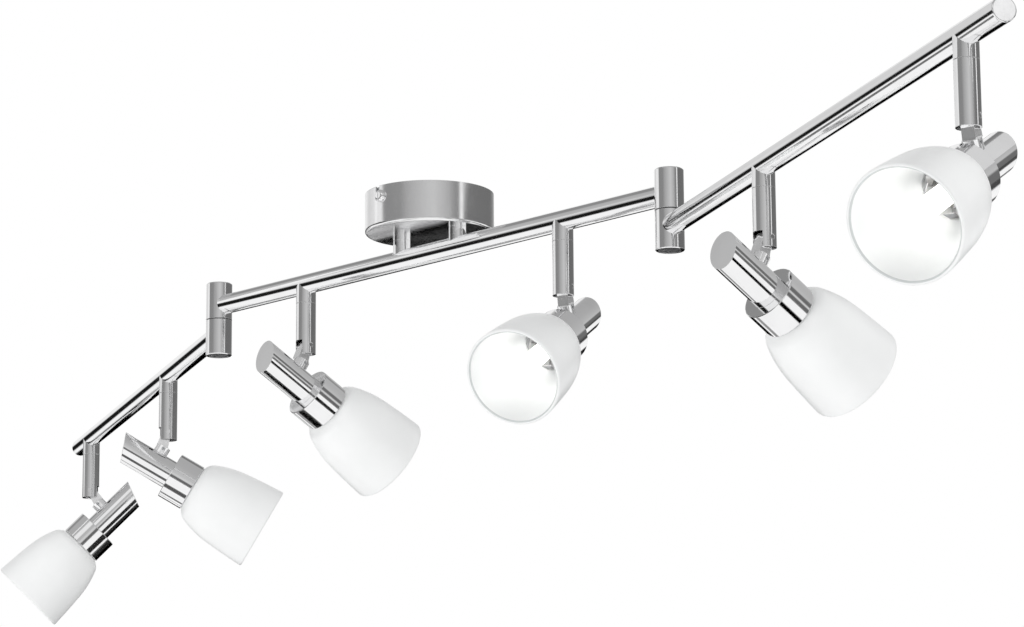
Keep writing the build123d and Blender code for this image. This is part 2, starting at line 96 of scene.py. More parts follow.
# ---------------------------------------------------------------- node graphs
class Value:
    """One output of a node. Arithmetic on it adds Math nodes."""

    def __init__(self, graph, socket):
        self.graph, self.socket = graph, socket

    def math(self, operation, *others, first=False):
        terms = (*others, self) if first else (self, *others)
        return self.graph.node("ShaderNodeMath", {"operation": operation}, dict(enumerate(terms)))

    def __add__(self, other):
        return self.math("ADD", other)

    __radd__ = __add__

    def __mul__(self, other):
        return self.math("MULTIPLY", other)

    __rmul__ = __mul__

    def __sub__(self, other):
        return self.math("SUBTRACT", other)

    def __rsub__(self, other):
        return self.math("SUBTRACT", other, first=True)

    def __truediv__(self, other):
        return self.math("DIVIDE", other)

    def __pow__(self, other):
        return self.math("POWER", other)

    def __gt__(self, other):
        return self.math("GREATER_THAN", other)

    def other(self, output):
        """Another output of the same node."""
        return Value(self.graph, self.socket.node.outputs[output])


class Graph:
    """A node tree, filled through one method."""

    def __init__(self, tree):
        self.tree = tree
        tree.nodes.clear()

    def node(self, kind, settings=(), sockets=(), output=0):
        """Adds a node: settings first, then the values or links of its sockets. Gives one output."""
        made = self.tree.nodes.new(kind)
        for name, value in dict(settings).items():
            if name == "stops":
                ramp = made.color_ramp.elements
                while len(ramp) < len(value):
                    ramp.new(0.5)
                for element, (place, colour) in zip(ramp, value):
                    element.position, element.color = place, (*colour, 1.0)
            else:
                setattr(made, name, value)
        for key, value in dict(sockets).items():
            if isinstance(value, Value):
                self.tree.links.new(value.socket, made.inputs[key])
            else:
                made.inputs[key].default_value = value
        return Value(self, made.outputs[output]) if len(made.outputs) else made

    # The few nodes that every finish uses.
    def noise(self, where, scale, detail=4.0, roughness=0.5):
        return self.node("ShaderNodeTexNoise", {}, {
            "Vector": where, "Scale": scale, "Detail": detail, "Roughness": roughness})

    def spread(self, value, low, high, to_low=0.0, to_high=1.0):
        """The value's stretch from low to high, moved to to_low and to_high and held there."""
        return self.node("ShaderNodeMapRange", {"clamp": True}, {
            "Value": value, "From Min": low, "From Max": high, "To Min": to_low, "To Max": to_high})

    def stretch(self, where, factors):
        return self.node("ShaderNodeVectorMath", {"operation": "MULTIPLY"}, {0: where, 1: factors})

    def blend(self, mask, colour_a, colour_b):
        """The first colour where the mask is 0, the second where it is 1."""
        mixed = self.node("ShaderNodeMix", {"data_type": "RGBA"}, {"Factor": mask})
        for key, colour in ((6, colour_a), (7, colour_b)):
            if isinstance(colour, Value):
                self.tree.links.new(colour.socket, mixed.socket.node.inputs[key])
            else:
                mixed.socket.node.inputs[key].default_value = (*colour, 1.0)
        return mixed.other(2)

    def relief(self, height, depth, normal=None):
        """A bump of a height from 0 to 1, depth metres deep."""
        sockets = {"Strength": 1.0, "Distance": depth, "Height": height}
        if normal is not None:
            sockets["Normal"] = normal
        return self.node("ShaderNodeBump", {}, sockets)


def own_place(graph, place=UPRIGHT):
    """Object coordinates, read in a piece's own place and direction."""
    where = graph.node("ShaderNodeTexCoord", output="Object")
    return graph.node("ShaderNodeMapping", {"vector_type": "TEXTURE"}, {
        "Vector": where, "Location": place.translation, "Rotation": place.to_euler()})


def bare_material(name):
    """A new material with an empty node tree. Gives the material and its graph."""
    made = bpy.data.materials.new(name)
    made.use_nodes = True
    return made, Graph(made.node_tree)


def finish(name, colour, **constants):
    """A new material with a Principled surface. Gives the material, its graph and the surface node."""
    made, graph = bare_material(name)
    surface = graph.node("ShaderNodeBsdfPrincipled").socket.node
    out = graph.node("ShaderNodeOutputMaterial")
    made.node_tree.links.new(surface.outputs[0], out.inputs["Surface"])
    surface.inputs["Base Color"].default_value = (*colour, 1.0)
    made.diffuse_color = (*colour, 1.0)
    for socket, value in constants.items():
        surface.inputs[socket.replace("_", " ")].default_value = value
    return made, graph, surface


def plug(graph, surface, **links):
    """Links values to the surface's sockets, with _ for a space in a socket's name."""
    for socket, value in links.items():
        graph.tree.links.new(value.socket, surface.inputs[socket.replace("_", " ")])


# ---------------------------------------------------------------- shapes that follow a rule
def recipe(name, sizes):
    """A geometry tree with named sizes. Gives the tree, its graph and its inputs."""
    tree = bpy.data.node_groups.new(name, "GeometryNodeTree")
    for way in ("INPUT", "OUTPUT"):
        tree.interface.new_socket(name="Geometry", in_out=way, socket_type="NodeSocketGeometry")
    for size, kind in sizes.items():
        tree.interface.new_socket(name=size, in_out="INPUT", socket_type=f"NodeSocket{kind}")
    graph = Graph(tree)
    return tree, graph, graph.node("NodeGroupInput")


def serve(graph, made, given):
    """Ends a recipe with real faces and their material."""
    real = graph.node("GeometryNodeRealizeInstances", {}, {0: made})
    dressed = graph.node("GeometryNodeSetMaterial", {}, {0: real, "Material": given.other("Material")})
    graph.node("NodeGroupOutput", {}, {0: dressed})


def vector(graph, x=0.0, y=0.0, z=0.0):
    return graph.node("ShaderNodeCombineXYZ", {}, {0: x, 1: y, 2: z})


def spinning_recipe():
    """Spins a closed outline of radius and length round an upright axis."""
    tree, graph, given = recipe("spun_outline", {
        "Core radius": "Float", "Steps round": "Int", "Sharp edge": "Float", "Material": "Material"})
    core = given.other("Core radius")
    outline = graph.node("GeometryNodeMeshToCurve", {}, {0: given})
    outline = graph.node("GeometryNodeTransform", {}, {
        0: outline, "Translation": vector(graph, 0 - core), "Scale": (1.0, -1.0, 1.0)})
    ring = graph.node("GeometryNodeCurvePrimitiveCircle", {}, {
        "Resolution": given.other("Steps round"), "Radius": core})
    spun = graph.node("GeometryNodeCurveToMesh", {}, {0: ring, 1: outline})
    spun = graph.node("GeometryNodeSetShadeSmooth", {"domain": "FACE"}, {0: spun, "Shade Smooth": True})
    sharp = graph.node("GeometryNodeInputMeshEdgeAngle") > given.other("Sharp edge")
    spun = graph.node("GeometryNodeSetShadeSmooth", {"domain": "EDGE"}, {
        0: spun, "Selection": sharp, "Shade Smooth": False})
    serve(graph, spun, given)
    return tree


SCREW_SIDES = 28


def screw_recipe():
    """Sets a slotted screw at every point, its face at the point and turned the way the point faces."""
    tree, graph, given = recipe("slotted_screws", {
        "Radius": "Float", "Length": "Float", "Slot width": "Float", "Slot depth": "Float",
        "Material": "Material"})
    radius, length = given.other("Radius"), given.other("Length")
    shank = graph.node("GeometryNodeMeshCylinder", {}, {
        "Vertices": SCREW_SIDES, "Radius": radius, "Depth": length})
    blade = graph.node("GeometryNodeMeshCube", {}, {
        "Size": vector(graph, radius * 4, given.other("Slot width"), given.other("Slot depth") * 2)})
    blade = graph.node("GeometryNodeTransform", {}, {0: blade, "Translation": vector(graph, z=length * 0.5)})
    screw = graph.node("GeometryNodeMeshBoolean", {"operation": "DIFFERENCE", "solver": "EXACT"}, {
        0: shank, 1: blade})
    screw = graph.node("GeometryNodeTransform", {}, {0: screw, "Translation": vector(graph, z=length * -0.5)})
    facing = graph.node("GeometryNodeInputNamedAttribute", {"data_type": "FLOAT_VECTOR"}, {"Name": "facing"})
    turned = graph.node("FunctionNodeAlignRotationToVector", {"axis": "Z"}, {"Vector": facing})
    set_in = graph.node("GeometryNodeInstanceOnPoints", {}, {0: given, "Instance": screw, "Rotation": turned})
    serve(graph, set_in, given)
    return tree


def put_up(name, data):
    """A new object in the scene."""
    thing = bpy.data.objects.new(name, data)
    scene.collection.objects.link(thing)
    return thing


def cook(name, start, tree, place, sizes):
    """Carries out a recipe on a starting mesh, and keeps the result as a plain mesh in its place."""
    piece = put_up(name, start)
    steps = piece.modifiers.new(tree.name, "NODES")
    steps.node_group = tree
    for socket in tree.interface.items_tree:
        if socket.name in sizes:
            steps[socket.identifier] = sizes[socket.name]
    made = bpy.data.meshes.new_from_object(piece.evaluated_get(bpy.context.evaluated_depsgraph_get()))
    piece.modifiers.remove(steps)
    piece.data = made
    made.name = name
    made.transform(place)
    faces = bmesh.new()
    faces.from_mesh(made)
    bmesh.ops.recalc_face_normals(faces, faces=faces.faces)
    faces.to_mesh(made)
    faces.free()
    return piece


# ---------------------------------------------------------------- finishes
CHROME = (0.90, 0.90, 0.905)
BRIGHT_CHROME = (0.93, 0.93, 0.935)
CAST_CHROME = (0.97, 0.97, 0.975)
DULL_CHROME = (0.78, 0.78, 0.78)
# painted shade: the grey of the shades' rims, standing in for the dark outline round their mouths
RIM_PAINTED_SHADE = (0.64, 0.66, 0.66)
EDGE_ROUND = 0.35 * MM
BRUSH_LINES = 5200.0
LONG_LINES = (1.0, 1.0, 0.012)        # draws a pattern out along a piece's own Z
LONG_SCRATCHES = (1.0, 1.0, 0.16)


def smudged(graph, where):
    """Patches that handling left on the plating."""
    return graph.spread(graph.noise(where, 42.0, 5.0, 0.6), 0.42, 0.72)


def brushed(graph, where):
    """Fine lines along a piece's own Z."""
    return graph.noise(graph.stretch(where, LONG_LINES), BRUSH_LINES, 2.0)


def turned_lines(graph, where):
    """Fine lines round a piece's own Z, as a lathe leaves them."""
    split = graph.node("ShaderNodeSeparateXYZ", {}, {0: where})
    radius = (split * split + split.other("Y") * split.other("Y")) ** 0.5
    return graph.noise(vector(graph, radius, 0.0, split.other("Z")), BRUSH_LINES, 2.0)


def rounded_edges(graph):
    return graph.node("ShaderNodeBevel", {"samples": 4}, {"Radius": EDGE_ROUND})


def chrome(name, place=UPRIGHT, colour=CHROME, sheen=0.05, turned=False, grain=0.0005 * MM, metal=1.0):
    """Plated metal, faintly brushed along its own Z, or round it where it was turned on a lathe."""
    made, graph, surface = finish(name, colour, Metallic=metal)
    where = own_place(graph, place)
    streaks = turned_lines(graph, where) if turned else brushed(graph, where)
    smudges = smudged(graph, where)
    hairlines = graph.node("ShaderNodeTexVoronoi", {"feature": "DISTANCE_TO_EDGE"}, {
        "Vector": graph.stretch(where, LONG_SCRATCHES), "Scale": 130.0, "Randomness": 1.0})
    hairlines = graph.spread(hairlines, 0.0, 0.012, 1.0, 0.0)
    rounded = rounded_edges(graph)
    facing = graph.node("ShaderNodeNewGeometry", output="Normal")
    edge = graph.node("ShaderNodeVectorMath", {"operation": "DOT_PRODUCT"}, {0: rounded, 1: facing}, "Value")
    edge = graph.spread(edge, 0.80, 0.99, 1.0, 0.0)
    rubbed = edge * graph.spread(graph.noise(where, 260.0, 3.0), 0.35, 0.6)
    dulled = tuple(0.86 * channel for channel in colour)
    plug(
        graph, surface,
        Base_Color=graph.blend(smudges * 0.35 + rubbed * 0.4, colour, dulled),
        Roughness=sheen + streaks * 0.04 + smudges * 0.04 + hairlines * 0.04 + rubbed * 0.08,
        Normal=graph.relief(streaks, grain, rounded),
    )
    return made


def zinc(name):
    """Zinc-plated steel: pale, with flat crystal patches."""
    made, graph, surface = finish(name, (0.62, 0.63, 0.64), Metallic=1.0)
    where = own_place(graph)
    patches = graph.node("ShaderNodeTexVoronoi", {"feature": "F1"}, {
        "Vector": where, "Scale": 420.0}, "Color")
    patch = graph.node("ShaderNodeSeparateXYZ", {}, {0: patches})
    bloom = graph.noise(where, 90.0, 6.0, 0.65)
    plug(
        graph, surface,
        Base_Color=graph.blend(patch * 0.5 + bloom * 0.5, (0.50, 0.51, 0.52), (0.72, 0.73, 0.74)),
        Roughness=0.28 + patch * 0.12 + bloom * 0.18,
        Normal=graph.relief(bloom, 0.04 * MM),
    )
    return made


def post_finish(name, post_x):
    """Plated posts, with zinc-plated threaded nipples and nuts inside the canopy."""
    made, graph, surface = finish(name, CHROME, Metallic=1.0)
    where = own_place(graph)
    split = graph.node("ShaderNodeSeparateXYZ", {}, {0: where})
    height = split.other("Z")
    inside = graph.spread(height, CANOPY_FLOOR, CANOPY_FLOOR + 0.1 * MM)
    from_post = split.math("ABSOLUTE") - post_x
    turn = split.other("Y").math("ARCTAN2", from_post) * (0.5 / pi)
    thread = (height / THREAD_PITCH + turn).math("PINGPONG", 0.5) * 2
    streaks = brushed(graph, where)
    smudges = smudged(graph, where)
    bloom = graph.noise(where, 90.0, 6.0, 0.65)
    plating = graph.blend(smudges * 0.35, CHROME, DULL_CHROME)
    zinc_coat = graph.blend(bloom, (0.52, 0.53, 0.54), (0.72, 0.73, 0.74))
    plug(
        graph, surface,
        Base_Color=graph.blend(inside, plating, zinc_coat),
        Roughness=0.05 + streaks * 0.04 + smudges * 0.04 + inside * (0.2 + bloom * 0.15),
        Normal=graph.relief(thread * inside, 0.3 * MM, rounded_edges(graph)),
    )
    return made


def spring_steel(name):
    """Rolled strip, stained in places by its heat treatment."""
    made, graph, surface = finish(name, (0.36, 0.36, 0.37), Metallic=1.0)
    where = own_place(graph)
    rolled = graph.noise(graph.stretch(where, (1.0, 0.05, 1.0)), 2600.0, 3.0)
    stain = graph.spread(graph.noise(where, 180.0, 4.0), 0.45, 0.7)
    plug(
        graph, surface,
        Base_Color=graph.blend(stain, (0.38, 0.38, 0.39), (0.24, 0.235, 0.23)),
        Roughness=0.24 + rolled * 0.16 + stain * 0.12,
        Normal=graph.relief(rolled, 0.01 * MM),
    )
    return made


def moulded(name, colour, shine=0.42):
    """Moulded plastic with a fine spark-eroded skin and a little bloom."""
    made, graph, surface = finish(name, colour, Specular_IOR_Level=0.45)
    where = own_place(graph)
    skin = graph.noise(where, 1400.0, 3.0, 0.6)
    bloom = graph.spread(graph.noise(where, 120.0, 4.0), 0.4, 0.75)
    paler = tuple(min(1.0, channel * 1.18 + 0.012) for channel in colour)
    plug(
        graph, surface,
        Base_Color=graph.blend(bloom, colour, paler),
        Roughness=shine + skin * 0.14 + bloom * 0.06,
        Normal=graph.relief(skin, 0.03 * MM),
    )
    return made


def ceramic(name):
    """Unglazed steatite: chalky, with fine pores."""
    made, graph, surface = finish(name, (0.86, 0.84, 0.79), Specular_IOR_Level=0.4)
    where = own_place(graph)
    body = graph.noise(where, 700.0, 6.0, 0.7)
    pores = graph.node("ShaderNodeTexVoronoi", {"feature": "F1"}, {"Vector": where, "Scale": 1500.0})
    pores = graph.spread(pores, 0.05, 0.22, 1.0, 0.0)
    plug(
        graph, surface,
        Base_Color=graph.blend(body * 0.5 + pores * 0.5, (0.88, 0.86, 0.81), (0.70, 0.67, 0.61)),
        Roughness=0.62 + body * 0.2,
        Normal=graph.relief(body - pores * 0.6, 0.06 * MM),
    )
    return made


# The rim's inner half is painted grey, as painted shade for the dark outline round the mouth: from and to
# this place along the axis and this radius.
RIM_SHADE_PLACE = (112.0 * MM, 112.3 * MM)
RIM_SHADE_RADIUS = (34.8 * MM, 35.0 * MM)


def opal_glass(name, place):
    """Opal glass with a satin etched skin, white through its thickness, and painted shade in grey on the
    rim's inner half.
    """
    made, graph, surface = finish(
        name, (0.92, 0.93, 0.93), IOR=1.5, Subsurface_Weight=0.2, Subsurface_Scale=6.0 * MM,
        Subsurface_Radius=(1.0, 1.0, 1.0), Coat_Weight=0.15, Coat_Roughness=0.3)
    where = own_place(graph, place)
    milk = graph.noise(where, 28.0, 4.0, 0.55)
    etched = graph.noise(where, 2400.0, 2.0)
    handled = graph.spread(graph.noise(where, 60.0, 5.0, 0.65), 0.5, 0.75)
    split = graph.node("ShaderNodeSeparateXYZ", {}, {0: where})
    across, upward = split.other("Y"), split.other("Z")
    radius = (across * across + upward * upward) ** 0.5
    # painted shade: grey on the rim's inner half, for the dark outline round the mouth
    rim_shade = graph.spread(split, *RIM_SHADE_PLACE) * graph.spread(radius, *RIM_SHADE_RADIUS, 1.0, 0.0)
    body = graph.blend(graph.spread(milk, 0.35, 0.7), (0.93, 0.94, 0.94), (0.90, 0.91, 0.91))
    plug(
        graph, surface,
        Base_Color=graph.blend(rim_shade, body, RIM_PAINTED_SHADE),
        Roughness=0.34 + etched * 0.08 - handled * 0.07,
        Normal=graph.relief(etched, 0.01 * MM),
    )
    return made


LAMP_GLOW = 2.6
LAMP_WARMS_UP = (44.0 * MM, 56.0 * MM)    # from the capsule's dim base to its filament


def frosted_lamp(name, place):
    """The lamp's acid-frosted capsule, lit: hottest round the filament, cooler at its base."""
    made, graph, surface = finish(name, (0.96, 0.95, 0.92), IOR=1.46, Emission_Strength=LAMP_GLOW)
    where = own_place(graph, place)
    along = graph.node("ShaderNodeSeparateXYZ", {}, {0: where})
    hot = graph.spread(along, *LAMP_WARMS_UP)
    frost = graph.noise(where, 1800.0, 3.0)
    plug(
        graph, surface,
        Emission_Color=graph.blend(hot, (0.20, 0.20, 0.19), (1.0, 0.99, 0.97)),
        Roughness=0.42 + frost * 0.12,
        Normal=graph.relief(frost, 0.01 * MM),
    )
    return made


def give(node, material):
    """Every slot of a frame node gets the one material."""
    for slot in NODES[node].material_slots:
        slot.material = material


def place_of(spot):
    """A spot's own frame: its origin on the tilt pin, +X along the beam, +Z from the axis to the pin."""
    joint = JOINTS[f"tilt_{spot}"]
    across = Vector(joint["axis"])
    level = across.cross(Vector((0, 0, 1)))
    panned = Matrix((level, across, Vector((0, 0, 1)))).transposed()
    tilt = radians(-joint["range_deg"][0])
    return Matrix.Translation(joint["pos_m"]) @ (panned @ Euler((0, tilt, 0)).to_matrix()).to_4x4()


def beam_place(spot):
    """As place_of, with the origin on the spot's own axis."""
    return place_of(spot) @ Matrix.Translation((0, 0, -HEAD_DROP))


def lathe_place(spot):
    """As beam_place, with +Z along the beam."""
    return beam_place(spot) @ Matrix.Rotation(pi / 2, 4, "Y")


def arm_place(side):
    """An arm's own frame: its origin on the hub's axis, +Z along the tube."""
    hub = Vector(JOINTS[f"{side}_arm_swing"]["pos_m"])
    stems = [Vector(joint["pos_m"]) for joint in JOINTS.values() if joint["parent"] == f"{side}_arm"]
    far = max(stems, key=lambda point: (point - hub).length)
    along = Vector((far.x - hub.x, far.y - hub.y, 0)).normalized()
    return Matrix.Translation(hub) @ along.to_track_quat("Z", "Y").to_matrix().to_4x4()


# ---------------------------------------------------------------- the frame's pieces
ALONG_BAR = Matrix.Rotation(pi / 2, 4, "Y")

give("canopy_cup", chrome("spun_canopy_chrome", sheen=0.13, turned=True))
give("center_bar", chrome("centre_bar_chrome", ALONG_BAR))
for side in ("left", "right"):
    give(f"{side}_arm_bar", chrome(f"{side}_arm_chrome", arm_place(side)))
upright_chrome = chrome("upright_tube_chrome")
bright = chrome("bright_chrome", colour=BRIGHT_CHROME, grain=0.001 * MM)
cast_chrome = chrome("cast_chrome", colour=CAST_CHROME, sheen=0.04, grain=0.001 * MM, metal=0.72)
low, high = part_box("canopy_posts")
post_x = (high[0] - low[0]) / 2 - POST_NUT_R
give("canopy_posts", post_finish("post_chrome", post_x))
give("canopy_screws", bright)
plated = zinc("zinc_plate")
for node in ("ceiling_bracket", "hub_bolts"):
    give(node, plated)
give("terminal_block", moulded("terminal_plastic", (0.80, 0.79, 0.74)))
dark_plastic = moulded("dark_plastic", (0.028, 0.028, 0.030), shine=0.35)
for node in ("left_hub_plug", "right_hub_plug", "swivel_washers"):
    give(node, dark_plastic)
clip_steel = spring_steel("clip_steel")
socket_ceramic = ceramic("socket_ceramic")
for spot in SPOTS:
    give(f"stem_{spot}", upright_chrome)
    give(f"tilt_screw_{spot}", bright)
    give(f"knuckle_{spot}", cast_chrome)
    give(f"lamp_sleeve_{spot}", chrome(f"sleeve_chrome_{spot}", lathe_place(spot), turned=True))
    give(f"spring_clips_{spot}", clip_steel)
    give(f"lamp_socket_{spot}", socket_ceramic)
    give(f"bulb_{spot}", frosted_lamp(f"frosted_lamp_{spot}", beam_place(spot)))


# ---------------------------------------------------------------- blown shades
def bell_curve(outline, flare, steps=10):
    """Points on tangent arcs through the outline's points, the first one leaving at the flare."""
    heading = exp(1j * radians(flare))
    points = [complex(*outline[0])]
    for start, end in zip(outline, outline[1:]):
        start, end = complex(*start), complex(*end)
        bend = phase((end - start) / heading)
        for step in range(1, steps + 1):
            turned = bend * step / steps
            points.append(start + abs(end - start) * sin(turned) / sin(bend) * heading * exp(1j * turned))
        heading *= exp(2j * bend)
    return points


def shade_outline(lip_steps=10):
    """The shade's closed outline, with a round lip, as radius and place along the spot's axis."""
    lip_back = SHADE_RIM - LIP_R
    outside = [point for point in bell_curve(BELL_OUTSIDE, OUTSIDE_FLARE) if point.real < lip_back]
    inside = [point for point in bell_curve(BELL_INSIDE, INSIDE_FLARE) if point.real < lip_back]
    lip_middle = complex(lip_back, BELL_OUTSIDE[-1][1] - LIP_INSET - LIP_R)
    lip = [lip_middle + LIP_R * exp(1j * pi * (0.5 - step / lip_steps)) for step in range(lip_steps + 1)]
    points = [complex(*point) for point in NECK] + outside + lip + inside[::-1]
    points += [complex(*point) for point in NECK_INSIDE]
    start = bpy.data.meshes.new("shade_outline")
    corners = [(point.imag * MM, point.real * MM, 0.0) for point in points]
    sides = [(corner, (corner + 1) % len(points)) for corner in range(len(points))]
    start.from_pydata(corners, sides, [])
    return start


spinning = spinning_recipe()
for spot in SPOTS:
    glass = opal_glass(f"opal_glass_{spot}", beam_place(spot))
    shade = cook(f"blown_shade_{spot}", shade_outline(), spinning, lathe_place(spot), {
        "Core radius": 10.0 * MM, "Steps round": 112, "Sharp edge": radians(40), "Material": glass})
    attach(shade, f"spot_{spot}")
    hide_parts(f"glass_shade_{spot}")

# ---------------------------------------------------------------- small screws
screws = screw_recipe()
clamp_sizes = {
    "Radius": 1.55 * MM, "Length": 3.4 * MM, "Slot width": 0.6 * MM, "Slot depth": 0.9 * MM,
    "Material": plated}
grub_sizes = {
    "Radius": 1.32 * MM, "Length": 2.0 * MM, "Slot width": 0.45 * MM, "Slot depth": 0.7 * MM,
    "Material": plated}


def points_facing(name, points, ways):
    """Loose points, each with the way that its screw faces."""
    start = bpy.data.meshes.new(name)
    start.from_pydata(points, [], [])
    facing = start.attributes.new("facing", "FLOAT_VECTOR", "POINT")
    for value, way in zip(facing.data, ways):
        value.vector = way
    return start


low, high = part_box("terminal_block")
block = Vector(((low[0] + high[0]) / 2, (low[1] + high[1]) / 2, low[2] + CLAMP_SCREW_SINK))
clamps = [block + Vector((side * CLAMP_PITCH[0] / 2, row * CLAMP_PITCH[1], 0))
          for side in (-1, 1) for row in (-1, 0, 1)]
clamps = points_facing("clamps", clamps, [(0, 0, -1)] * len(clamps))
clamp_screws = cook("clamp_screws", clamps, screws, UPRIGHT, clamp_sizes)
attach(clamp_screws, "center")

for spot in SPOTS:
    holes = [Vector((GRUB_SCREW.x, side * GRUB_SCREW.y, GRUB_SCREW.z)) for side in (-1, 1)]
    holes = points_facing("grubs", holes, [(0, -1, 0), (0, 1, 0)])
    grubs = cook(f"grub_screws_{spot}", holes, screws, place_of(spot), grub_sizes)
    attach(grubs, f"spot_{spot}")

# ---------------------------------------------------------------- studio
# The scrim's tables give how much of the white room comes through, as a share from 0 to 1. Bearings and rises
# are in degrees, as seen from the light. HIGH_SHADES goes by rise, the other tables of pairs by bearing.
HIGH_SHADES = ((8, 0.66), (18, 0.56), (27, 0.50), (35, 0.47), (45, 0.44), (90, 0.40))
# Cards pinned high on the scrim: bearing, rise, half width, half height, share.
HIGH_CARDS = (
    (165, 20, 34, 14, 0.70),
    (178, 47, 30, 14, 0.28),
    (-66, 22, 34, 16, 0.88),
    (112, 44, 26, 13, 0.20),
    (138, 34, 13, 12, 0.92),
)
CARD_FADE = (0.55, 1.0)       # where a card's edge starts and ends, as a share of its size, squared
# A belt of the wall just above level, which the upright tubes show.
BELT = (9.0, 17.0)
BELT_FADE = 3.0
BELT_SHADES = (
    (-180, 0.70), (-137, 0.90), (-131, 0.25), (-95, 0.26), (-80, 0.38), (-34, 0.60), (-12, 0.46), (4, 0.26),
    (16, 0.18), (30, 0.15), (100, 0.17), (120, 0.38), (140, 0.90), (165, 0.90), (180, 0.70),
)
# The dark line at level. LEVEL_RISE pairs a bearing with the line's rise, LEVEL_REACH with its half width.
LEVEL_RISE = (
    (-180, 2), (-165, 1), (-137, -9), (-100, -8), (-40, -7), (20, -5), (90, 2), (120, -4), (150, 0), (170, 3),
    (180, 2),
)
LEVEL_SHADES = (
    (-180, 0.01), (-125, 0.01), (-100, 0.10), (-60, 0.14), (40, 0.14), (80, 0.08), (115, 0.01), (180, 0.01),
)
LEVEL_REACH = (
    (-180, 7), (-165, 7), (-137, 14), (-120, 10), (-90, 7), (-50, 5.5), (40, 5.5), (110, 8), (150, 7),
    (180, 7),
)
LEVEL_FADE = (0.8, 1.3)       # as a share of the reach
UNDER_LEVEL = (-2.0, 0.0)     # the scrim clears over these two degrees, under the line's rise
# A thin dark line low in front: its rise by bearing, its half width, its share and its two ends.
LOW_LINE_RISE = (
    (-20, -27), (0, -31), (6, -37), (11, -42), (25, -41), (53, -38), (83, -37), (96, -31), (117, -16),
    (126, -9),
)
LOW_LINE_FADE = (5.5, 9.5)
LOW_LINE_SHADE = 0.02
LOW_LINE_START = (-7.0, -2.0)
LOW_LINE_END = (126.0, 130.0)
# Cards and flags pinned at level and below, as HIGH_CARDS.
LOW_CARDS = (
    (177, -16, 9, 5, 0.16),
    (-85, -51, 22, 9, 0.10),
    (-172, -58, 15, 12, 0.0),
    (163, -38, 11, 8, 0.30),
    (150, -10, 13, 15, 0.0),
    (136, -8, 13, 17, 0.0),
    (113, -20, 26, 20, 0.0),
    (101, 2, 12, 6, 1.0),
)
# Cards and flags held close to the light: name, centre, half its long side, half its short side, brightness.
NEAR_CARDS = (
    ("right_strip", (1.60, 0.45, 0.31), (0.0, 0.0, 0.31), (-0.025, 0.095, 0.0), 1.0),
    ("left_strip", (-0.80, -0.45, 0.25), (0.0, 0.0, 0.20), (0.025, -0.045, 0.0), 1.0),
    ("right_small_card", (2.02, -0.26, 0.30), (-0.01, -0.06, 0.01), (-0.01, 0.01, 0.04), 1.0),
    ("right_low_card", (0.52, 0.11, -0.76), (0.0, -0.36, -0.14), (0.02, -0.055, 0.14), 1.0),
    ("back_low_card", (-0.38, 0.57, -0.57), (0.02, 0.27, 0.08), (-0.015, 0.02, -0.065), 1.0),
    ("right_high_card", (0.82, 0.30, 0.41), (-0.29, 0.05, 0.0), (-0.025, -0.155, 0.155), 0.7),
    ("back_left_flag", (-1.52, 0.99, -0.87), (0.09, 0.20, 0.08), (0.005, -0.035, 0.075), 0.0),
    ("left_low_flag", (-1.38, -0.08, -2.32), (-0.71, 0.32, 0.31), (-0.04, -0.08, -0.005), 0.0),
    ("right_low_flag", (1.18, -0.08, -0.65), (0.05, -0.16, 0.24), (-0.01, 0.09, 0.06), 0.0),
)
CAMERA_PLACE = (2.06686, -1.86197, -0.67997)
CAMERA_YAW, CAMERA_PITCH, CAMERA_ROLL = -0.814611, 0.207487, -0.006952    # in radians
CAMERA_LENS = 129.13          # mm, on a sensor 36 mm wide

scene.view_settings.view_transform = "Standard"


def seen_directly(graph):
    """1 for rays from the camera, off metal and through glass, where the background shows."""
    path = graph.node("ShaderNodeLightPath", output="Is Camera Ray")
    rays = path + path.other("Is Glossy Ray") + path.other("Is Transmission Ray")
    return rays.math("MINIMUM", 1.0)


def light_the_world(soft_light):
    world = bpy.data.worlds.new("white_room")
    scene.world = world
    world.use_nodes = True
    graph = Graph(world.node_tree)
    soft = graph.node("ShaderNodeBackground", {}, {"Color": (1, 1, 1, 1), "Strength": soft_light})
    white = graph.node("ShaderNodeBackground", {}, {"Color": (1, 1, 1, 1), "Strength": 1.0})
    both = graph.node("ShaderNodeMixShader", {}, {0: seen_directly(graph), 1: soft, 2: white})
    graph.node("ShaderNodeOutputWorld", {}, {"Surface": both})


def flat_card(name, centre, long_way, short_way):
    """A rectangle given by its centre and its two half sides."""
    centre, long_way, short_way = Vector(centre), Vector(long_way), Vector(short_way)
    corners = (centre - long_way - short_way, centre + long_way - short_way,
               centre + long_way + short_way, centre - long_way + short_way)
    mesh = bpy.data.meshes.new(name)
    mesh.from_pydata(corners, [], [(0, 1, 2, 3)])
    return put_up(name, mesh)


def hide_from_all_but_metal(thing):
    """Leaves a piece of the studio to reflections alone."""
    thing.visible_camera = thing.visible_diffuse = thing.visible_shadow = False
    thing.visible_transmission = thing.visible_volume_scatter = False


def lay_floor(depth=2.3, half=8.0):
    """A pale floor that is seen from above only."""
    floor = flat_card("floor", (0, 0, -depth), (half, 0, 0), (0, half, 0))
    made, graph, surface = finish("pale_floor", (0.86, 0.86, 0.86), Roughness=0.9, Specular_IOR_Level=0.1)
    clear = graph.node("ShaderNodeBsdfTransparent")
    glow = graph.node("ShaderNodeEmission", {}, {"Strength": 0.5})
    lit = graph.node("ShaderNodeAddShader", {}, {0: Value(graph, surface.outputs[0]), 1: glow})
    shown = graph.node("ShaderNodeMixShader", {}, {
        0: seen_directly(graph), 1: Value(graph, surface.outputs[0]), 2: lit})
    under = graph.node("ShaderNodeNewGeometry", output="Backfacing")
    both = graph.node("ShaderNodeMixShader", {}, {0: under, 1: shown, 2: clear})
    out = next(node for node in graph.tree.nodes if node.type == "OUTPUT_MATERIAL")
    graph.tree.links.new(both.socket, out.inputs["Surface"])
    floor.data.materials.append(made)
    floor.visible_glossy = False


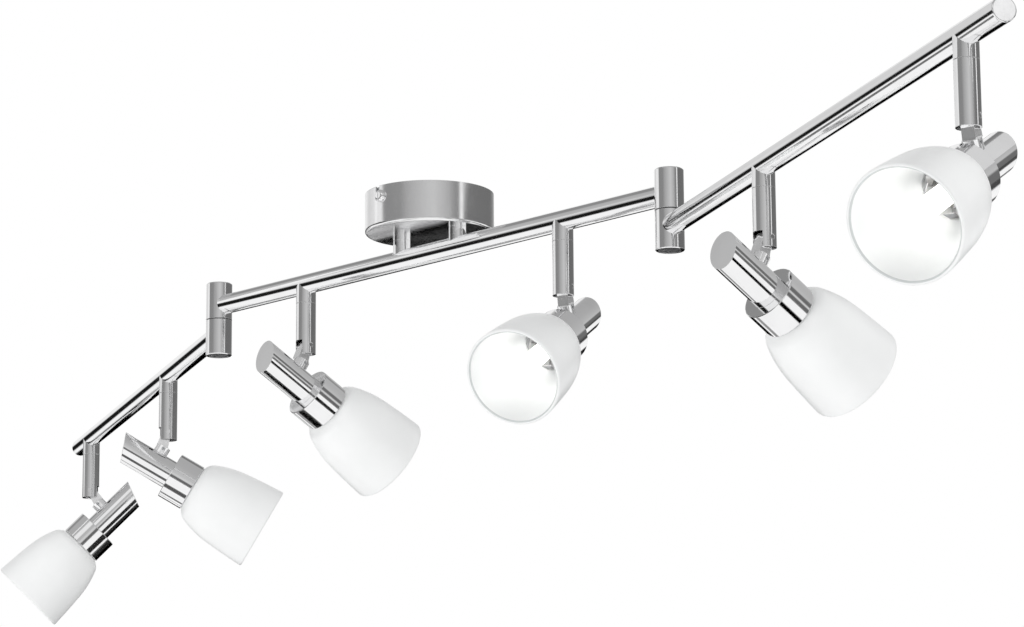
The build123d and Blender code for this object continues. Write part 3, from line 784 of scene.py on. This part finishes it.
def hang_scrim(radius=40.0):
    """A graded scrim round the light. Only metal and glass see it, and the white room shows through it."""
    mesh = bpy.data.meshes.new("scrim")
    shell = bmesh.new()
    bmesh.ops.create_uvsphere(shell, u_segments=48, v_segments=24, radius=radius)
    shell.to_mesh(mesh)
    shell.free()
    scrim = put_up("scrim", mesh)
    made, graph = bare_material("scrim")
    toward = graph.node("ShaderNodeVectorMath", {"operation": "NORMALIZE"}, {
        0: graph.node("ShaderNodeTexCoord", output="Object")})
    split = graph.node("ShaderNodeSeparateXYZ", {}, {0: toward})
    rise = split.other("Z").math("ARCSINE") * (180 / pi)
    bearing = split.other("Y").math("ARCTAN2", split) * (180 / pi)

    def graded(table, value, low, high, most=1.0):
        """A table's figure at a value. A ramp holds figures from 0 to 1, so they are shares of the most."""
        stops = [((place - low) / (high - low), (figure / most,) * 3) for place, figure in table]
        along = (value - low) * (1 / (high - low))
        return graph.node("ShaderNodeValToRGB", {"stops": stops}, {0: along}) * most

    def by_bearing(table, most=1.0):
        return graded(table, bearing, -180, 180, most)

    def above_line(table, lift, most):
        """The rise above a line that the table gives. The lift keeps the ramp's figures above 0."""
        return rise + by_bearing([(place, lift - figure) for place, figure in table], most) - lift

    def fading_out(value, fade):
        """1 up to the fade's start, 0 past its end."""
        return graph.spread(value, *fade, 1.0, 0.0)

    def lay(over, shade, mask):
        return over + (shade - over) * mask

    def pin_up(shade, cards):
        for card_bearing, card_rise, half_width, half_height, card_shade in cards:
            across = graph.node("ShaderNodeMath", {"operation": "WRAP"}, {
                0: bearing - card_bearing, 1: 180, 2: -180})
            across = across * (1 / half_width)
            upward = (rise - card_rise) * (1 / half_height)
            shade = lay(shade, card_shade, fading_out(across * across + upward * upward, CARD_FADE))
        return shade

    shade = pin_up(graded(HIGH_SHADES, rise, -90, 90), HIGH_CARDS)
    belt = graph.spread(rise, BELT[0] - BELT_FADE, BELT[0]) * fading_out(rise, (BELT[1], BELT[1] + BELT_FADE))
    shade = lay(shade, by_bearing(BELT_SHADES), belt)
    off_level = above_line(LEVEL_RISE, 10, 20)
    shade = lay(shade, 1.0, fading_out(off_level, UNDER_LEVEL))
    near_level = off_level.math("ABSOLUTE") / by_bearing(LEVEL_REACH, 15)
    shade = lay(shade, by_bearing(LEVEL_SHADES), fading_out(near_level, LEVEL_FADE))
    low_line = fading_out(above_line(LOW_LINE_RISE, 0, 90).math("ABSOLUTE"), LOW_LINE_FADE)
    low_line = low_line * graph.spread(bearing, *LOW_LINE_START) * fading_out(bearing, LOW_LINE_END)
    shade = pin_up(lay(shade, LOW_LINE_SHADE, low_line), LOW_CARDS)
    gauze = graph.node("ShaderNodeBsdfTransparent", {}, {"Color": vector(graph, shade, shade, shade)})
    graph.node("ShaderNodeOutputMaterial", {}, {"Surface": gauze})
    mesh.materials.append(made)
    hide_from_all_but_metal(scrim)


def hold_card(name, centre, long_way, short_way, shade):
    """A card close to the light that only metal and glass see."""
    card = flat_card(name, centre, long_way, short_way)
    made, graph = bare_material(name)
    glow = graph.node("ShaderNodeEmission", {}, {"Strength": shade})
    graph.node("ShaderNodeOutputMaterial", {}, {"Surface": glow})
    card.data.materials.append(made)
    hide_from_all_but_metal(card)


def soft_lamp(name, place, size, watts, target=(0, 0, -0.1)):
    """A square softbox turned to its target, which metal doesn't show."""
    light = bpy.data.lights.new(name, "AREA")
    light.shape, light.size, light.energy = "SQUARE", size, watts
    lamp = put_up(name, light)
    lamp.location = place
    lamp.visible_glossy = False
    lamp.rotation_euler = (Vector(target) - Vector(place)).to_track_quat("-Z", "Y").to_euler()


light_the_world(soft_light=0.50)
lay_floor()
soft_lamp("overhead_softbox", (0.4, -1.2, 3.2), size=3.0, watts=31)
soft_lamp("low_left_softbox", (-0.9, -3.2, -1.2), size=1.8, watts=51)
soft_lamp("right_softbox", (2.0, 0.9, 1.0), size=0.9, watts=10.4, target=(0.8, 0, -0.1))
soft_lamp("low_right_softbox", (2.5, -0.2, -1.2), size=1.5, watts=16.6)
soft_lamp("back_softbox", (-2.6, 2.6, 0.6), size=2.0, watts=26)
hang_scrim()
for near_card in NEAR_CARDS:
    hold_card(*near_card)


def set_camera():
    """The camera stands low in front of the right arm and looks up along the bars."""
    yaw, pitch, roll = CAMERA_YAW, CAMERA_PITCH, CAMERA_ROLL
    forward = Vector((sin(yaw) * cos(pitch), cos(yaw) * cos(pitch), sin(pitch)))
    right = Vector((cos(yaw), -sin(yaw), 0))
    up = right.cross(forward)
    right, up = cos(roll) * right + sin(roll) * up, -sin(roll) * right + cos(roll) * up
    camera = put_up("camera", bpy.data.cameras.new("camera"))
    turned = Matrix((right, up, -forward)).transposed().to_4x4()
    camera.matrix_world = Matrix.Translation(CAMERA_PLACE) @ turned
    camera.data.sensor_width = 36.0
    camera.data.lens = CAMERA_LENS
    camera.data.clip_start, camera.data.clip_end = 0.01, 100.0
    scene.camera = camera


set_camera()
